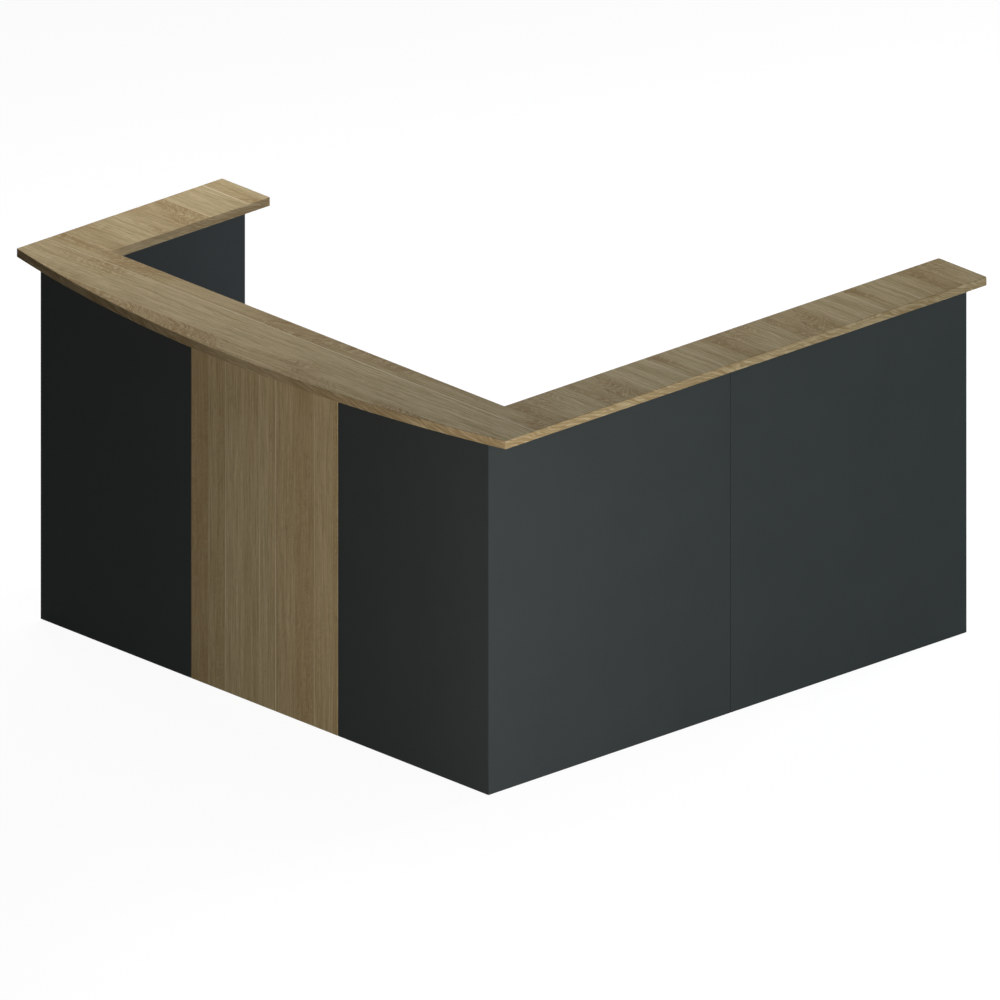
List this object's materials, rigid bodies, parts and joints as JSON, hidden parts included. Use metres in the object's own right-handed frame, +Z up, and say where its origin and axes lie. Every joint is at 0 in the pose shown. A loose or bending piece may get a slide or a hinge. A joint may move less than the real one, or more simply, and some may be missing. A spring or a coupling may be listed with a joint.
{
  "type": "reception desk",
  "caption": "U-shaped reception desk with a bowed oak counter on dark board walls, an oak front panel, and a desk-height worktop on the staff side.",
  "frame": {"origin": "on the floor under the middle of the desk's bounding box", "axes": "+X to the right along the front as a visitor sees it, +Y from the visitor's side to the staff side, +Z up"},
  "size_m": [2.02, 1.969, 1.1],
  "materials": {
    "anthracite_board": "matt melamine",
    "oak_board": "satin oak decor",
    "oak_edging": "satin oak decor",
    "zinc_plate": "zinc plated",
    "black_plastic": "moulded"
  },
  "bodies": {
    "desk": {"counter_bracket_left_front": "zinc_plate", "counter_bracket_left_rear": "zinc_plate", "counter_bracket_right_front": "zinc_plate", "counter_bracket_right_middle_front": "zinc_plate", "counter_bracket_right_middle_rear": "zinc_plate", "counter_bracket_right_rear": "zinc_plate", "counter_edging_front": "oak_edging", "counter_edging_front_inner": "oak_edging", "counter_edging_left": "oak_edging", "counter_edging_right": "oak_edging", "counter_joint_plate_left": "zinc_plate", "counter_joint_plate_right": "zinc_plate", "counter_top_front": "oak_board", "counter_top_left": "oak_board", "counter_top_right": "oak_board", "front_gable_left": "anthracite_board", "front_gable_right": "anthracite_board", "front_panel_centre": "oak_board", "front_panel_left": "anthracite_board", "front_panel_right": "anthracite_board", "front_rail_centre": "anthracite_board", "front_rail_left": "anthracite_board", "front_rail_right": "anthracite_board", "grommet_liner_front": "black_plastic", "grommet_liner_return": "black_plastic", "left_side_panel": "anthracite_board", "leveller_bracket_gable_left": "zinc_plate", "leveller_bracket_gable_right": "zinc_plate", "leveller_bracket_left_front": "zinc_plate", "leveller_bracket_left_rear": "zinc_plate", "leveller_bracket_return_end": "zinc_plate", "leveller_bracket_return_middle": "zinc_plate", "leveller_bracket_right_front": "zinc_plate", "leveller_bracket_right_rear": "zinc_plate", "return_gable_end": "anthracite_board", "return_gable_middle": "anthracite_board", "right_side_panel_front": "anthracite_board", "right_side_panel_rear": "anthracite_board", "worktop_cleat_left": "anthracite_board", "worktop_cleat_right": "anthracite_board", "worktop_edging_front": "oak_edging", "worktop_edging_return": "oak_edging", "worktop_front": "oak_board", "worktop_joint_plate": "zinc_plate", "worktop_return": "oak_board"},
    "foot_left_front": {"leveller_foot_left_front": "black_plastic"},
    "foot_left_rear": {"leveller_foot_left_rear": "black_plastic"},
    "foot_gable_left": {"leveller_foot_gable_left": "black_plastic"},
    "foot_gable_right": {"leveller_foot_gable_right": "black_plastic"},
    "foot_right_front": {"leveller_foot_right_front": "black_plastic"},
    "foot_right_rear": {"leveller_foot_right_rear": "black_plastic"},
    "foot_return_middle": {"leveller_foot_return_middle": "black_plastic"},
    "foot_return_end": {"leveller_foot_return_end": "black_plastic"},
    "cap_front": {"grommet_cap_front": "black_plastic"},
    "cap_return": {"grommet_cap_return": "black_plastic"}
  },
  "joints": [
    {"name": "level_left_front", "type": "slide", "parent": "desk", "child": "foot_left_front", "axis": [0, 0, -1], "range_m": [0, 0.015]},
    {"name": "level_left_rear", "type": "slide", "parent": "desk", "child": "foot_left_rear", "axis": [0, 0, -1], "range_m": [0, 0.015]},
    {"name": "level_gable_left", "type": "slide", "parent": "desk", "child": "foot_gable_left", "axis": [0, 0, -1], "range_m": [0, 0.015]},
    {"name": "level_gable_right", "type": "slide", "parent": "desk", "child": "foot_gable_right", "axis": [0, 0, -1], "range_m": [0, 0.015]},
    {"name": "level_right_front", "type": "slide", "parent": "desk", "child": "foot_right_front", "axis": [0, 0, -1], "range_m": [0, 0.015]},
    {"name": "level_right_rear", "type": "slide", "parent": "desk", "child": "foot_right_rear", "axis": [0, 0, -1], "range_m": [0, 0.015]},
    {"name": "level_return_middle", "type": "slide", "parent": "desk", "child": "foot_return_middle", "axis": [0, 0, -1], "range_m": [0, 0.015]},
    {"name": "level_return_end", "type": "slide", "parent": "desk", "child": "foot_return_end", "axis": [0, 0, -1], "range_m": [0, 0.015]},
    {"name": "turn_cap_front", "type": "hinge", "parent": "desk", "child": "cap_front", "pos_m": [0, -0.7412, 0.75], "axis": [0, 0, 1], "continuous": true},
    {"name": "turn_cap_return", "type": "hinge", "parent": "desk", "child": "cap_return", "pos_m": [0.8137, 0.531, 0.75], "axis": [0, 0, 1], "continuous": true}
  ]
}
